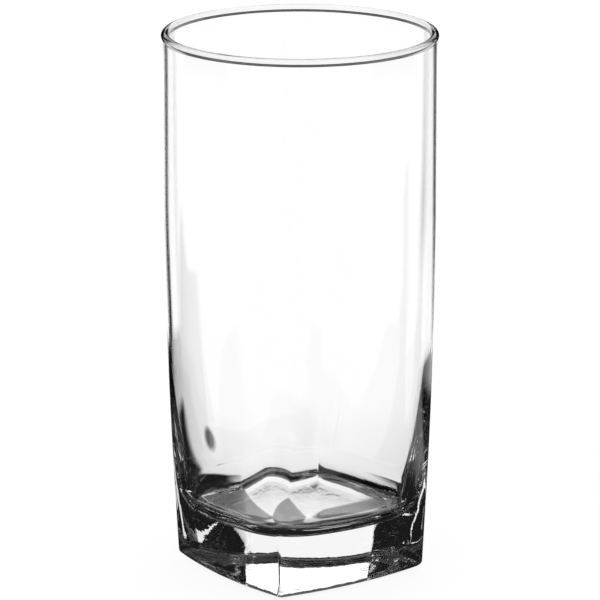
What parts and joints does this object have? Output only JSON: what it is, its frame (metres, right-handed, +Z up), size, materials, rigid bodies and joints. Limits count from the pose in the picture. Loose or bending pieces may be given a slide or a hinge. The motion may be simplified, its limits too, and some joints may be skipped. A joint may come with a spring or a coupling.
{
  "type": "tall drinking glass",
  "caption": "Tall clear drinking glass, round and beaded at the mouth, blending down to a heavy square foot with bowed sides and rounded edges.",
  "frame": {"origin": "centre of the square that the glass stands on, at table height", "axes": "+Z up along the glass's axis, +X and +Y square to two sides of the foot"},
  "size_m": [0.0664, 0.0664, 0.133],
  "materials": {
    "clear_glass": "clear, fire polished"
  },
  "bodies": {
    "root": {"tumbler": "clear_glass"}
  },
  "joints": []
}
